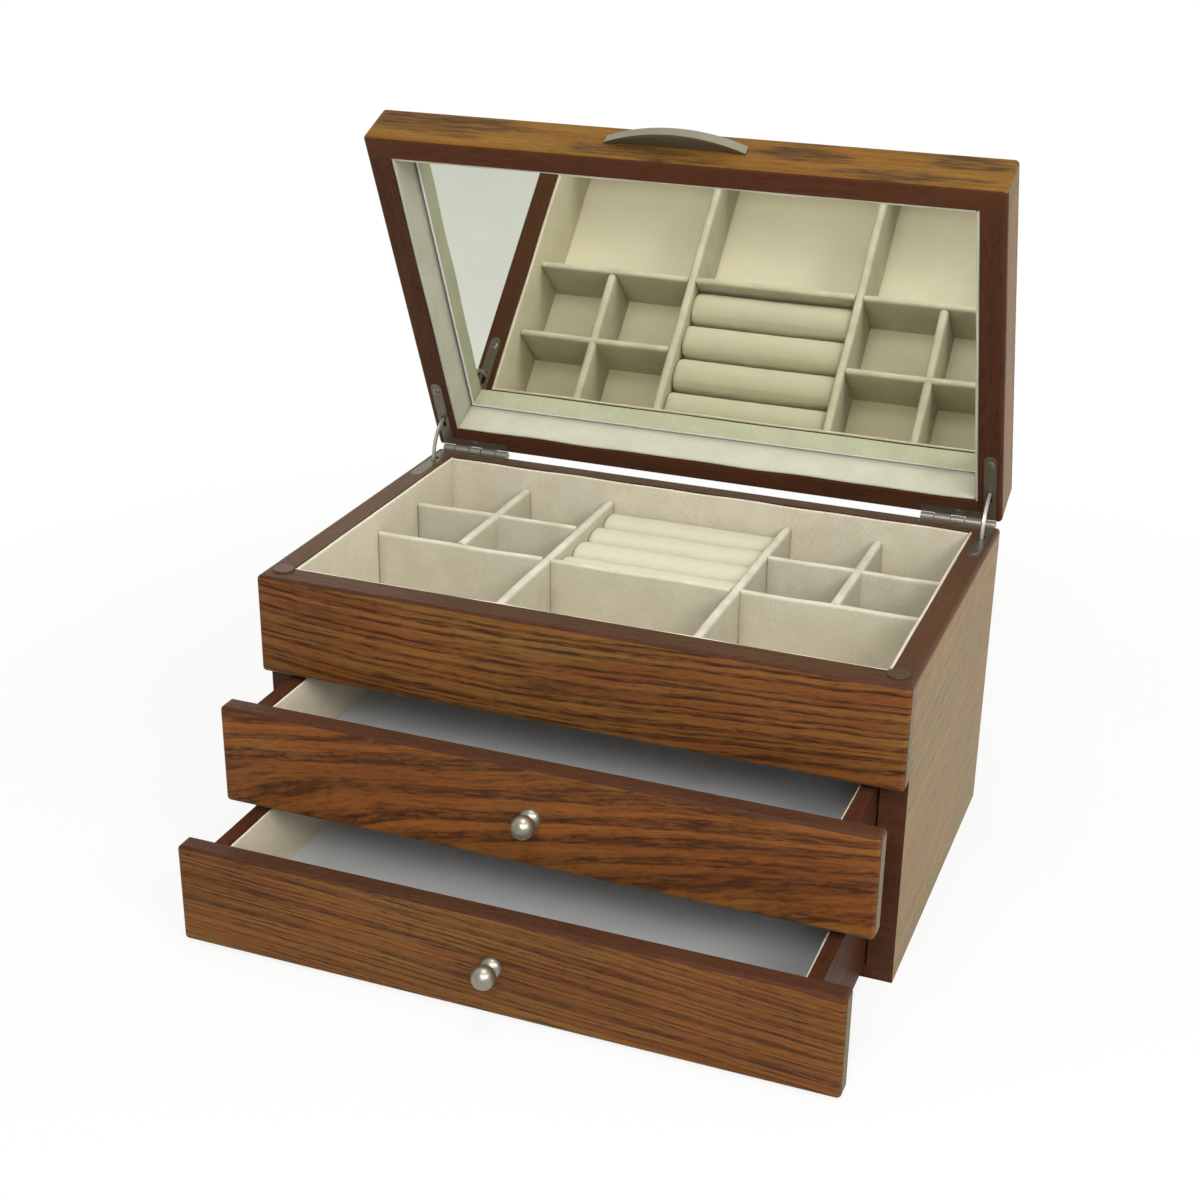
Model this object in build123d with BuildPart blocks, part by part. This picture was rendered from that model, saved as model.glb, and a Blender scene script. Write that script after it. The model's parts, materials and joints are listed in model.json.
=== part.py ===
from build123d import *
import os
from math import asin, cos, degrees, radians, sin

# A jewelry box with two drawers under a divided tray, and a hinged lid with a mirror inside.
# Millimetres. +Z is up, the front faces -Y, and the origin is the centre of the case's base.
# It stands as in its picture: the lid open on its stays and both drawers part of the way out.

# Case: three tiers of one height, two drawers and the tray
box_width = 305.0
box_depth = 191.5
tier_height = 49.4
tier_count = 3
side_thickness = 12.0
back_thickness = 9.5
panel_thickness = 6.0
dado_depth = 3.0
front_thickness = 9.0
tray_front_thickness = 13.5
front_gap = 1.0
edge_radius = 2.0
hinge_edge_radius = 0.5

# Tray lining, dividers and ring rolls
lining_thickness = 1.8
lining_drop = 0.8
card_gap = 0.2
divider_thickness = 4.0
divider_drop = 10.8
long_divider_share = 0.345
bay_divider_share = 0.684
front_cross_share = 0.479
bay_cross_share = 0.749
lap_share = 0.5
roll_count = 4
roll_gap = 0.5
roll_drop = 3.0
roll_end_taper = 4.0
roll_end_share = 0.96
roll_foot_share = 0.42
roll_shoulder_share = 0.46
roll_belly_share = 0.32
roll_shoulder_height_share = 0.66

# Drawers, pulled out as in the picture
upper_drawer_pull = 37.7
lower_drawer_pull = 79.7
drawer_side_clearance = 0.8
drawer_foot_clearance = 0.3
drawer_head_clearance = 1.5
drawer_back_clearance = 7.5
drawer_side_thickness = 6.5
drawer_back_thickness = 6.5
drawer_bottom_thickness = 3.0
drawer_bottom_rise = 3.0
drawer_groove_depth = 3.0
drawer_lining_thickness = 1.2
drawer_lining_drop = 1.0

# Drawer knobs
knob_ball_radius = 5.4
knob_ball_reach = 8.3
knob_base_radius = 5.0
knob_base_height = 4.2
knob_neck_radius = 2.4
knob_screw_radius = 1.5
knob_screw_grip = 8.0
knob_screw_head_radius = 3.0
knob_screw_head_height = 1.6
screw_clearance = 0.1

# Lid
lid_height = 25.0
lid_gap = 1.0
lid_angle = 66.9
lid_rail_thickness = 11.0
lid_panel_thickness = 5.0
lid_rabbet = 5.0
mirror_thickness = 3.0
mirror_gap = 0.6
mirror_bevel = 0.8

# Bow handle on the lid's front
handle_length = 67.5
handle_reach = 7.5
handle_tip = 0.9
handle_height = 5.6
handle_scoop_wall = 1.0
handle_scoop_depth = 0.9
handle_screw_spacing = 46.0
handle_screw_radius = 1.0
handle_screw_grip = 3.0
handle_screw_wall = 0.7
handle_screw_cover = 5.3
handle_screw_head_radius = 1.8
handle_screw_head_height = 1.2

# Quadrant hinges: L-shaped leaves let into the rims, a barrel behind the case, an arc stay each
hinge_setback = 2.3
pin_radius = 0.9
pin_clearance = 0.05
knuckle_radius = 2.0
knuckle_gap = 0.5
short_knuckle = 6.4
long_knuckle = 8.0
leaf_thickness = 1.6
leaf_clearance = 0.1
leg_inset = 3.0
leg_width = 6.0
leg_length = 44.0
back_leg_width = 4.8
leg_screw_place = 38.8
hinge_screw_radius = 1.1
hinge_screw_length = 9.0
hinge_screw_head_radius = 1.9
hinge_screw_head_height = 1.1
hinge_screw_dome = 0.35
driver_slot_width = 0.6
driver_slot_depth = 0.5
stay_radius = 20.0
stay_width = 1.4
stay_depth = 1.8
stay_head_width = 3.4
stay_head_length = 2.0
stay_play = 0.3
stay_slot_start = 14.5
stay_slot_end = 22.0
stay_slot_width = 2.0
stay_pocket_play = 0.5
stay_pocket_angle = 3.0

# Clear pads that the closed lid lands on
bumper_radius = 5.0
bumper_height = 0.8
bumper_inset = 8.5
bumper_setback = 11.0
bumper_round = 0.3

# Every cut runs this far past the face it opens
overrun = 1.0

# Places that follow from the sizes above
case_height = tier_count * tier_height
half_width = box_width / 2
front_face = -box_depth / 2
back_face = box_depth / 2
carcass_front = front_face + front_thickness
tray_front = front_face + tray_front_thickness
inner_side = half_width - side_thickness
inner_back = back_face - back_thickness
tray_floor_level = (tier_count - 1) * tier_height + panel_thickness
tray_card_level = tray_floor_level + lining_thickness

case_plane = Plane.XY
pin_plane = Plane((0, back_face + hinge_setback, case_height + lid_gap / 2))
lid_plane = pin_plane.rotated((-lid_angle, 0, 0))
pin_level = lid_gap / 2
leg_outside = half_width - leg_inset
leg_middle = leg_outside - leg_width / 2
knuckle_lengths = [short_knuckle, long_knuckle, short_knuckle, long_knuckle, short_knuckle]
barrel_length = sum(knuckle_lengths) + knuckle_gap * (len(knuckle_lengths) - 1)
back_screw_x = leg_outside - barrel_length / 2
back_screw_y = -(hinge_setback + back_leg_width / 2)
through_angle = degrees(asin((pin_level + leaf_thickness + stay_play) / stay_radius))
stay_reach = through_angle + degrees(stay_head_length / stay_radius)
pocket_reach = stay_reach + lid_angle / 2 + stay_pocket_angle
sides = ((-1, "left"), (1, "right"))

os.makedirs("parts", exist_ok=True)


def keep(piece, name):
    """Label a finished piece and write it."""
    piece.part.label = name
    export_step(piece.part, f"parts/{name}.step")


def board(plane, xs, ys, zs, mode=Mode.ADD):
    """Block between two values of each of the plane's own coordinates."""
    with BuildSketch(plane.offset(min(zs))) as outline:
        with Locations((sum(xs) / 2, sum(ys) / 2)):
            Rectangle(abs(xs[1] - xs[0]), abs(ys[1] - ys[0]))
    extrude(outline.sketch, amount=abs(zs[1] - zs[0]), mode=mode)


def rod(plane, radius, start, end, mode=Mode.ADD):
    """Round bar along the plane's normal, from one height above the plane to another."""
    with BuildSketch(plane.offset(min(start, end))) as outline:
        Circle(radius)
    extrude(outline.sketch, amount=abs(end - start), mode=mode)


def at(plane, x, y, z, normal):
    """Plane at a point of another plane, with the given normal."""
    return Plane(plane.from_local_coords((x, y, z)), x_dir=plane.x_dir, z_dir=normal)


def crosswise(plane, x):
    """Plane square to another plane's X at a distance, for rods along X."""
    return Plane(plane.from_local_coords((x, 0, 0)), x_dir=plane.y_dir, z_dir=plane.x_dir)


def bent_bar(plane, x, width, depth, start, end, mode=Mode.ADD):
    """Bar bent about the pin at the stay's radius, between two angles above the plane's front half."""
    radial = plane.z_dir * sin(radians(start)) - plane.y_dir * cos(radians(start))
    tangent = plane.z_dir * cos(radians(start)) + plane.y_dir * sin(radians(start))
    with BuildSketch(Plane(plane.origin, x_dir=radial, z_dir=tangent)) as section:
        with Locations((stay_radius, x)):
            Rectangle(depth, width)
    turn = Axis(plane.origin, -plane.x_dir)
    revolve(section.sketch, axis=turn, revolution_arc=end - start, mode=mode)


def outer_edges(piece, plane, side):
    """Long and rear edges of the outer face of a side board, all but the one at its front."""
    outward = Axis(plane.origin, plane.x_dir * side)
    backward = Axis(plane.origin, plane.y_dir)
    return piece.faces().sort_by(outward)[-1].edges().sort_by(backward)[1:]


def front_edges(piece, plane):
    """Edges round the front face of a board, with the short edges that run back from its corners."""
    backward = Axis(plane.origin, plane.y_dir)
    around = piece.faces().sort_by(backward)[0].edges()
    return around + piece.edges().filter_by(backward)


# Hinge leaf, its mortise and its screws, in the plane of the pin: up is 1 for the lid and -1 for the case
def leaf_outline(plane, side, grow, back_end):
    """L-shaped outline of a leaf: a side leg with a round end, and a back leg along the barrel."""
    leg_end = leg_length - leg_width / 2
    back_leg_end = hinge_setback + back_leg_width + grow
    with BuildSketch(plane) as outline:
        with Locations((side * leg_middle, -(leg_end + back_end) / 2)):
            Rectangle(leg_width + 2 * grow, leg_end - back_end)
        with Locations((side * leg_middle, -leg_end)):
            Circle(leg_width / 2 + grow)
        with Locations((side * back_screw_x, -(back_leg_end + back_end) / 2)):
            Rectangle(barrel_length + 2 * grow, back_leg_end - back_end)
    return outline.sketch


def leaf_screw_planes(plane, side, up):
    """Planes at a leaf's two screws, on the leaf's exposed face and pointing into the wood."""
    places = ((side * leg_middle, -leg_screw_place), (side * back_screw_x, back_screw_y))
    return [at(plane, x, y, up * pin_level, plane.z_dir * up) for x, y in places]


def cut_mortise(plane, side, up):
    """Recess for a leaf in the rim, with the pilot holes of its screws and the pocket of the stay."""
    bottom = pin_level if up > 0 else -pin_level - leaf_thickness
    recess = leaf_outline(plane.offset(bottom), side, leaf_clearance, -overrun)
    extrude(recess, amount=leaf_thickness, mode=Mode.SUBTRACT)
    for screw_plane in leaf_screw_planes(plane, side, up):
        rod(screw_plane, hinge_screw_radius + screw_clearance, 0, hinge_screw_length + screw_clearance,
            mode=Mode.SUBTRACT)
    pocket_width = stay_head_width + 2 * stay_pocket_play
    pocket_depth = stay_depth + 2 * stay_pocket_play
    angles = (0, pocket_reach) if up > 0 else (-pocket_reach, 0)
    bent_bar(plane, side * leg_middle, pocket_width, pocket_depth, *angles, mode=Mode.SUBTRACT)


def hinge_leaf(plane, side, up):
    """Leaf with its share of the knuckles: the odd ones on the lid, the even ones on the case."""
    bottom = pin_level if up > 0 else -pin_level - leaf_thickness
    plate = leaf_outline(plane.offset(bottom), side, 0, knuckle_radius + knuckle_gap)
    extrude(plate, amount=leaf_thickness)
    knuckle_start = leg_outside
    for index, length in enumerate(knuckle_lengths):
        if index % 2 == (up > 0):
            span = (side * knuckle_start, side * (knuckle_start - length))
            reach = -(knuckle_radius + 2 * knuckle_gap)
            board(plane, span, (reach, 0), (bottom, bottom + leaf_thickness))
            rod(crosswise(plane, 0), knuckle_radius, *span)
        knuckle_start -= length + knuckle_gap
    barrel = (side * (leg_outside + overrun), side * (leg_outside - barrel_length - overrun))
    rod(crosswise(plane, 0), pin_radius + pin_clearance, *barrel, mode=Mode.SUBTRACT)
    slot = (-stay_slot_end, -stay_slot_start)
    slot_xs = (side * leg_middle - stay_slot_width / 2, side * leg_middle + stay_slot_width / 2)
    board(plane, slot_xs, slot, (bottom - overrun, bottom + leaf_thickness + overrun), mode=Mode.SUBTRACT)
    for screw_plane in leaf_screw_planes(plane, side, up):
        rod(screw_plane, hinge_screw_radius + screw_clearance, -overrun, leaf_thickness + overrun,
            mode=Mode.SUBTRACT)
        with BuildSketch(screw_plane) as mouth:
            Circle(hinge_screw_head_radius + screw_clearance)
        with BuildSketch(screw_plane.offset(hinge_screw_head_height)) as throat:
            Circle(hinge_screw_radius + screw_clearance)
        loft([mouth.sketch.face(), throat.sketch.face()], mode=Mode.SUBTRACT)


def hinge_screw(screw_plane):
    """Countersunk wood screw whose cross-slotted head swells a little out of the leaf."""
    with BuildSketch(Plane(screw_plane.origin, x_dir=screw_plane.x_dir, z_dir=-screw_plane.y_dir)) as half:
        with BuildLine():
            EllipticalCenterArc((0, 0), hinge_screw_head_radius, hinge_screw_dome, start_angle=270,
                                arc_size=90)
            Polyline((hinge_screw_head_radius, 0), (hinge_screw_radius, hinge_screw_head_height),
                     (hinge_screw_radius, hinge_screw_length), (0, hinge_screw_length),
                     (0, -hinge_screw_dome))
        make_face()
    revolve(half.sketch, axis=Axis(screw_plane.origin, screw_plane.z_dir))
    arm = hinge_screw_head_radius - driver_slot_width
    for xs, ys in (((-arm, arm), (-driver_slot_width / 2, driver_slot_width / 2)),
                   ((-driver_slot_width / 2, driver_slot_width / 2), (-arm, arm))):
        board(screw_plane, xs, ys, (-overrun, driver_slot_depth), mode=Mode.SUBTRACT)


# Case boards
for side, hand in sides:
    with BuildPart() as case_side:
        board(case_plane, (side * inner_side, side * half_width), (carcass_front, back_face),
              (0, case_height))
        outline_edges = outer_edges(case_side, case_plane, side)
        fillet(outline_edges.sort_by(Axis.Z)[1:], edge_radius)
        for tier in range(tier_count):
            dado_front = tray_front if tier == tier_count - 1 else carcass_front - overrun
            dado_level = tier * tier_height
            board(case_plane, (side * (inner_side - overrun), side * (inner_side + dado_depth)),
                  (dado_front, inner_back), (dado_level, dado_level + panel_thickness), mode=Mode.SUBTRACT)
        cut_mortise(pin_plane, side, -1)
    keep(case_side, f"{hand}_side")

with BuildPart() as back_panel:
    board(case_plane, (-inner_side, inner_side), (inner_back, back_face), (0, case_height))
    top_edges = back_panel.edges().filter_by(Axis.X).group_by(Axis.Z)[-1]
    fillet(top_edges.sort_by(Axis.Y)[-1], hinge_edge_radius)
    for side, hand in sides:
        cut_mortise(pin_plane, side, -1)
keep(back_panel, "back_panel")

tray_front_level = (tier_count - 1) * tier_height + front_gap
with BuildPart() as tray_front_panel:
    board(case_plane, (-half_width, half_width), (front_face, carcass_front),
          (tray_front_level, case_height))
    fillet(front_edges(tray_front_panel, case_plane), edge_radius)
    board(case_plane, (-inner_side, inner_side), (carcass_front, tray_front),
          (tray_front_level, case_height))
keep(tray_front_panel, "tray_front_panel")

for tier, name in enumerate(("bottom_panel", "drawer_shelf", "tray_floor")):
    panel_front = tray_front if tier == tier_count - 1 else carcass_front
    with BuildPart() as tier_panel:
        board(case_plane, (-inner_side - dado_depth, inner_side + dado_depth), (panel_front, inner_back),
              (tier * tier_height, tier * tier_height + panel_thickness))
    keep(tier_panel, name)

# Tray lining: a card on the floor, and four cards standing on it against the walls
lining_side = inner_side - lining_thickness
lining_front = tray_front + lining_thickness
lining_back = inner_back - lining_thickness
lining_top = case_height - lining_drop
with BuildPart() as tray_floor_lining:
    board(case_plane, (-inner_side, inner_side), (tray_front, inner_back),
          (tray_floor_level, tray_card_level))
keep(tray_floor_lining, "tray_floor_lining")

with BuildPart() as tray_wall_lining:
    for ys in ((tray_front, lining_front), (lining_back, inner_back)):
        board(case_plane, (-inner_side, inner_side), ys, (tray_card_level, lining_top))
    for side, hand in sides:
        board(case_plane, (side * lining_side, side * inner_side),
              (lining_front + card_gap, lining_back - card_gap), (tray_card_level, lining_top))
keep(tray_wall_lining, "tray_wall_lining")

# Dividers: two from front to back, three across, and a lapped cross in each rear side bay
divider_top = case_height - divider_drop
divider_levels = (tray_card_level, divider_top)
lap_level = tray_card_level + lap_share * (divider_top - tray_card_level)
half_divider = divider_thickness / 2
tray_length = lining_back - lining_front
long_divider_x = long_divider_share * lining_side
bay_divider_x = bay_divider_share * lining_side
front_cross_y = lining_front + front_cross_share * tray_length
bay_cross_y = lining_front + bay_cross_share * tray_length
side_bay_xs = (long_divider_x + half_divider + card_gap, lining_side - card_gap)
bay_ys = (front_cross_y + half_divider + card_gap, lining_back - card_gap)

for side, hand in sides:
    with BuildPart() as long_divider:
        board(case_plane, (side * long_divider_x - half_divider, side * long_divider_x + half_divider),
              (lining_front + card_gap, lining_back - card_gap), divider_levels)
    keep(long_divider, f"{hand}_long_divider")

    side_bay = (side * side_bay_xs[0], side * side_bay_xs[1])
    with BuildPart() as front_cross:
        board(case_plane, side_bay, (front_cross_y - half_divider, front_cross_y + half_divider),
              divider_levels)
    keep(front_cross, f"{hand}_front_cross_divider")

    lap = half_divider + card_gap
    lap_xs = (side * bay_divider_x - lap, side * bay_divider_x + lap)
    with BuildPart() as bay_divider:
        board(case_plane, (side * bay_divider_x - half_divider, side * bay_divider_x + half_divider),
              bay_ys, divider_levels)
        board(case_plane, lap_xs, (bay_cross_y - lap, bay_cross_y + lap),
              (lap_level, divider_top + overrun), mode=Mode.SUBTRACT)
    keep(bay_divider, f"{hand}_bay_divider")

    with BuildPart() as bay_cross:
        board(case_plane, side_bay, (bay_cross_y - half_divider, bay_cross_y + half_divider), divider_levels)
        board(case_plane, lap_xs, (bay_cross_y - lap, bay_cross_y + lap),
              (tray_card_level - overrun, lap_level), mode=Mode.SUBTRACT)
    keep(bay_cross, f"{hand}_bay_cross_divider")

centre_bay_end = long_divider_x - half_divider - card_gap
with BuildPart() as centre_cross:
    board(case_plane, (-centre_bay_end, centre_bay_end),
          (front_cross_y - half_divider, front_cross_y + half_divider), divider_levels)
keep(centre_cross, "centre_front_cross_divider")

# Ring rolls: foam bars across the middle bay, crowned on top and drawn in at the sides and ends
roll_pitch = (bay_ys[1] - bay_ys[0]) / roll_count
roll_width = roll_pitch - roll_gap
roll_height = divider_top - roll_drop - tray_card_level


def roll_section(plane, share):
    """Roll's section on its foot: a flat foot, bellied sides and a crown, drawn in by a share."""
    foot = roll_foot_share * roll_width * share
    shoulder = roll_shoulder_share * roll_width * share
    belly = roll_width * share / 2
    belly_height = roll_belly_share * roll_height * share
    shoulder_height = roll_shoulder_height_share * roll_height * share
    with BuildSketch(plane) as section:
        with BuildLine():
            Line((-foot, 0), (foot, 0))
            ThreePointArc((foot, 0), (belly, belly_height), (shoulder, shoulder_height))
            ThreePointArc((shoulder, shoulder_height), (0, roll_height * share), (-shoulder, shoulder_height))
            ThreePointArc((-shoulder, shoulder_height), (-belly, belly_height), (-foot, 0))
        make_face()
    return section.sketch.face()


for index in range(roll_count):
    roll_y = bay_ys[0] + roll_pitch * index + roll_pitch / 2
    roll_axis = Plane((0, roll_y, tray_card_level), x_dir=(0, 1, 0), z_dir=(1, 0, 0))
    stations = ((-centre_bay_end, roll_end_share), (roll_end_taper - centre_bay_end, 1),
                (centre_bay_end - roll_end_taper, 1), (centre_bay_end, roll_end_share))
    with BuildPart() as ring_roll:
        loft([roll_section(roll_axis.offset(x), share) for x, share in stations], ruled=True)
    keep(ring_roll, f"ring_roll_{index + 1}")

# Clear pads on the rim's front corners
with BuildPart() as rim_bumpers:
    for side, hand in sides:
        bumper_x = side * (half_width - bumper_inset)
        bumper_plane = at(case_plane, bumper_x, front_face + bumper_setback, case_height, case_plane.z_dir)
        rod(bumper_plane, bumper_radius, 0, bumper_height)
    fillet(rim_bumpers.edges().group_by(Axis.Z)[-1], bumper_round)
keep(rim_bumpers, "rim_bumpers")

# Hinges: the case's leaves and pins, the lid's leaves, and the stays between them
for side, hand in sides:
    with BuildPart() as case_leaf:
        hinge_leaf(pin_plane, side, -1)
    keep(case_leaf, f"{hand}_case_hinge_leaf")

    with BuildPart() as lid_leaf:
        hinge_leaf(lid_plane, side, 1)
    keep(lid_leaf, f"{hand}_lid_hinge_leaf")

    with BuildPart() as hinge_pin:
        rod(crosswise(pin_plane, 0), pin_radius, side * leg_outside, side * (leg_outside - barrel_length))
    keep(hinge_pin, f"{hand}_hinge_pin")

    with BuildPart() as stay:
        bent_bar(pin_plane, side * leg_middle, stay_width, stay_depth, -stay_reach, lid_angle + stay_reach)
        head_spans = ((-stay_reach, -through_angle), (lid_angle + through_angle, lid_angle + stay_reach))
        for start, end in head_spans:
            bent_bar(pin_plane, side * leg_middle, stay_head_width, stay_depth, start, end)
    keep(stay, f"{hand}_stay")

for plane, up, name in ((pin_plane, -1, "case_hinge_screws"), (lid_plane, 1, "lid_hinge_screws")):
    with BuildPart() as hinge_screws:
        for side, hand in sides:
            for screw_plane in leaf_screw_planes(plane, side, up):
                hinge_screw(screw_plane)
    keep(hinge_screws, name)

# Lid, in its own plane through the pin: its rim is just above that plane, and its front is far along -Y
lid_front = -hinge_setback - box_depth
lid_back = -hinge_setback
lid_inner_front = lid_front + lid_rail_thickness
lid_inner_back = lid_back - lid_rail_thickness
lid_rim = pin_level
lid_top = lid_rim + lid_height
lid_panel_level = lid_top - lid_panel_thickness
lid_backward = Axis(lid_plane.origin, lid_plane.y_dir)
lid_upward = Axis(lid_plane.origin, lid_plane.z_dir)
rabbet_xs = (-inner_side - lid_rabbet, inner_side + lid_rabbet)
rabbet_ys = (lid_inner_front - lid_rabbet, lid_inner_back + lid_rabbet)
handle_screw_level = lid_panel_level - handle_screw_cover - handle_screw_head_radius
handle_level = handle_screw_level - handle_screw_radius - handle_screw_wall - handle_scoop_depth


def handle_screw_planes(y):
    """Planes at the handle's two screws, facing the front, at a place along the lid."""
    spots = (-handle_screw_spacing / 2, handle_screw_spacing / 2)
    return [at(lid_plane, x, y, handle_screw_level, -lid_plane.y_dir) for x in spots]


with BuildPart() as lid_front_rail:
    board(lid_plane, (-half_width, half_width), (lid_front, lid_inner_front), (lid_rim, lid_top))
    fillet(front_edges(lid_front_rail, lid_plane), edge_radius)
    board(lid_plane, rabbet_xs, (rabbet_ys[0], lid_inner_front + overrun),
          (lid_panel_level, lid_top + overrun), mode=Mode.SUBTRACT)
    for screw_plane in handle_screw_planes(lid_inner_front):
        rod(screw_plane, handle_screw_radius + screw_clearance, -overrun, lid_rail_thickness + overrun,
            mode=Mode.SUBTRACT)
        rod(screw_plane, handle_screw_head_radius + screw_clearance, -overrun,
            handle_screw_head_height + screw_clearance, mode=Mode.SUBTRACT)
keep(lid_front_rail, "lid_front_rail")

with BuildPart() as lid_back_rail:
    board(lid_plane, (-inner_side, inner_side), (lid_inner_back, lid_back), (lid_rim, lid_top))
    back_edges = lid_back_rail.faces().sort_by(lid_backward)[-1].edges().filter_by(Axis.X)
    for edge, radius in zip(back_edges.sort_by(lid_upward), (hinge_edge_radius, edge_radius)):
        fillet(edge, radius)
    board(lid_plane, (-inner_side - overrun, inner_side + overrun), (lid_inner_back - overrun, rabbet_ys[1]),
          (lid_panel_level, lid_top + overrun), mode=Mode.SUBTRACT)
    for side, hand in sides:
        cut_mortise(lid_plane, side, 1)
keep(lid_back_rail, "lid_back_rail")

for side, hand in sides:
    with BuildPart() as lid_side_rail:
        board(lid_plane, (side * inner_side, side * half_width), (lid_inner_front, lid_back),
              (lid_rim, lid_top))
        fillet(outer_edges(lid_side_rail, lid_plane, side), edge_radius)
        board(lid_plane, (side * (inner_side - overrun), side * (inner_side + lid_rabbet)),
              (lid_inner_front - overrun, rabbet_ys[1]), (lid_panel_level, lid_top + overrun),
              mode=Mode.SUBTRACT)
        cut_mortise(lid_plane, side, 1)
    keep(lid_side_rail, f"lid_{hand}_rail")

with BuildPart() as lid_top_panel:
    board(lid_plane, rabbet_xs, rabbet_ys, (lid_panel_level, lid_top))
keep(lid_top_panel, "lid_top_panel")

lid_lining_front = lid_inner_front + lining_thickness
lid_lining_back = lid_inner_back - lining_thickness
lid_lining_levels = (lid_rim + lining_drop, lid_panel_level)
with BuildPart() as lid_lining:
    for ys in ((lid_inner_front, lid_lining_front), (lid_lining_back, lid_inner_back)):
        board(lid_plane, (-inner_side, inner_side), ys, lid_lining_levels)
    for side, hand in sides:
        board(lid_plane, (side * lining_side, side * inner_side),
              (lid_lining_front + card_gap, lid_lining_back - card_gap), lid_lining_levels)
keep(lid_lining, "lid_lining")

with BuildPart() as mirror:
    board(lid_plane, (mirror_gap - lining_side, lining_side - mirror_gap),
          (lid_lining_front + mirror_gap, lid_lining_back - mirror_gap),
          (lid_panel_level - mirror_thickness, lid_panel_level))
    chamfer(mirror.faces().sort_by(lid_upward)[0].edges(), mirror_bevel)
keep(mirror, "mirror")


# Bow handle: a crescent that stands out of the lid's front, with a scoop for the fingers underneath
def bow_outline(plane, length, reach, tip):
    """Crescent between the lid's face and an arc: X along the lid, Y out of its face."""
    with BuildSketch(plane) as bow:
        with BuildLine():
            Polyline((-length / 2, tip), (-length / 2, 0), (length / 2, 0), (length / 2, tip))
            ThreePointArc((length / 2, tip), (0, reach), (-length / 2, tip))
        make_face()
    return bow.sketch


handle_plane = Plane(lid_plane.from_local_coords((0, lid_front, handle_level)),
                     x_dir=-lid_plane.x_dir, z_dir=lid_plane.z_dir)
with BuildPart() as lid_handle:
    extrude(bow_outline(handle_plane, handle_length, handle_reach, handle_tip), amount=handle_height)
    scoop_length = handle_length * (1 - handle_scoop_wall / handle_reach)
    scoop_reach = handle_reach - handle_scoop_wall
    scoop = bow_outline(handle_plane.offset(-overrun), scoop_length, scoop_reach, handle_tip / 2)
    extrude(scoop, amount=handle_scoop_depth + overrun, mode=Mode.SUBTRACT)
    for screw_plane in handle_screw_planes(lid_front):
        rod(screw_plane, handle_screw_radius + screw_clearance, -overrun, handle_screw_grip + screw_clearance,
            mode=Mode.SUBTRACT)
keep(lid_handle, "lid_handle")

with BuildPart() as handle_screws:
    for screw_plane in handle_screw_planes(lid_inner_front):
        rod(screw_plane, handle_screw_head_radius, 0, handle_screw_head_height)
        rod(screw_plane, handle_screw_radius, 0, lid_rail_thickness + handle_screw_grip)
keep(handle_screws, "handle_screws")

# Drawers, each in its own plane: the height is that of its tier, and Y is moved by its pull
drawer_outside = inner_side - drawer_side_clearance
drawer_inside = drawer_outside - drawer_side_thickness
drawer_rear = inner_back - drawer_back_clearance
drawer_inner_rear = drawer_rear - drawer_back_thickness
drawer_foot = panel_thickness + drawer_foot_clearance
drawer_rim = tier_height - drawer_head_clearance
drawer_bottom_level = drawer_foot + drawer_bottom_rise
drawer_floor_level = drawer_bottom_level + drawer_bottom_thickness
drawer_card_level = drawer_floor_level + drawer_lining_thickness
drawer_lining_top = drawer_rim - drawer_lining_drop
drawer_lining_side = drawer_inside - drawer_lining_thickness
drawer_lining_front = carcass_front + drawer_lining_thickness
drawer_lining_rear = drawer_inner_rear - drawer_lining_thickness
knob_level = (front_gap + tier_height) / 2
bottom_xs = (-drawer_inside - drawer_groove_depth, drawer_inside + drawer_groove_depth)
bottom_ys = (carcass_front - drawer_groove_depth, drawer_rear)
bottom_levels = (drawer_bottom_level, drawer_floor_level)

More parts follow.
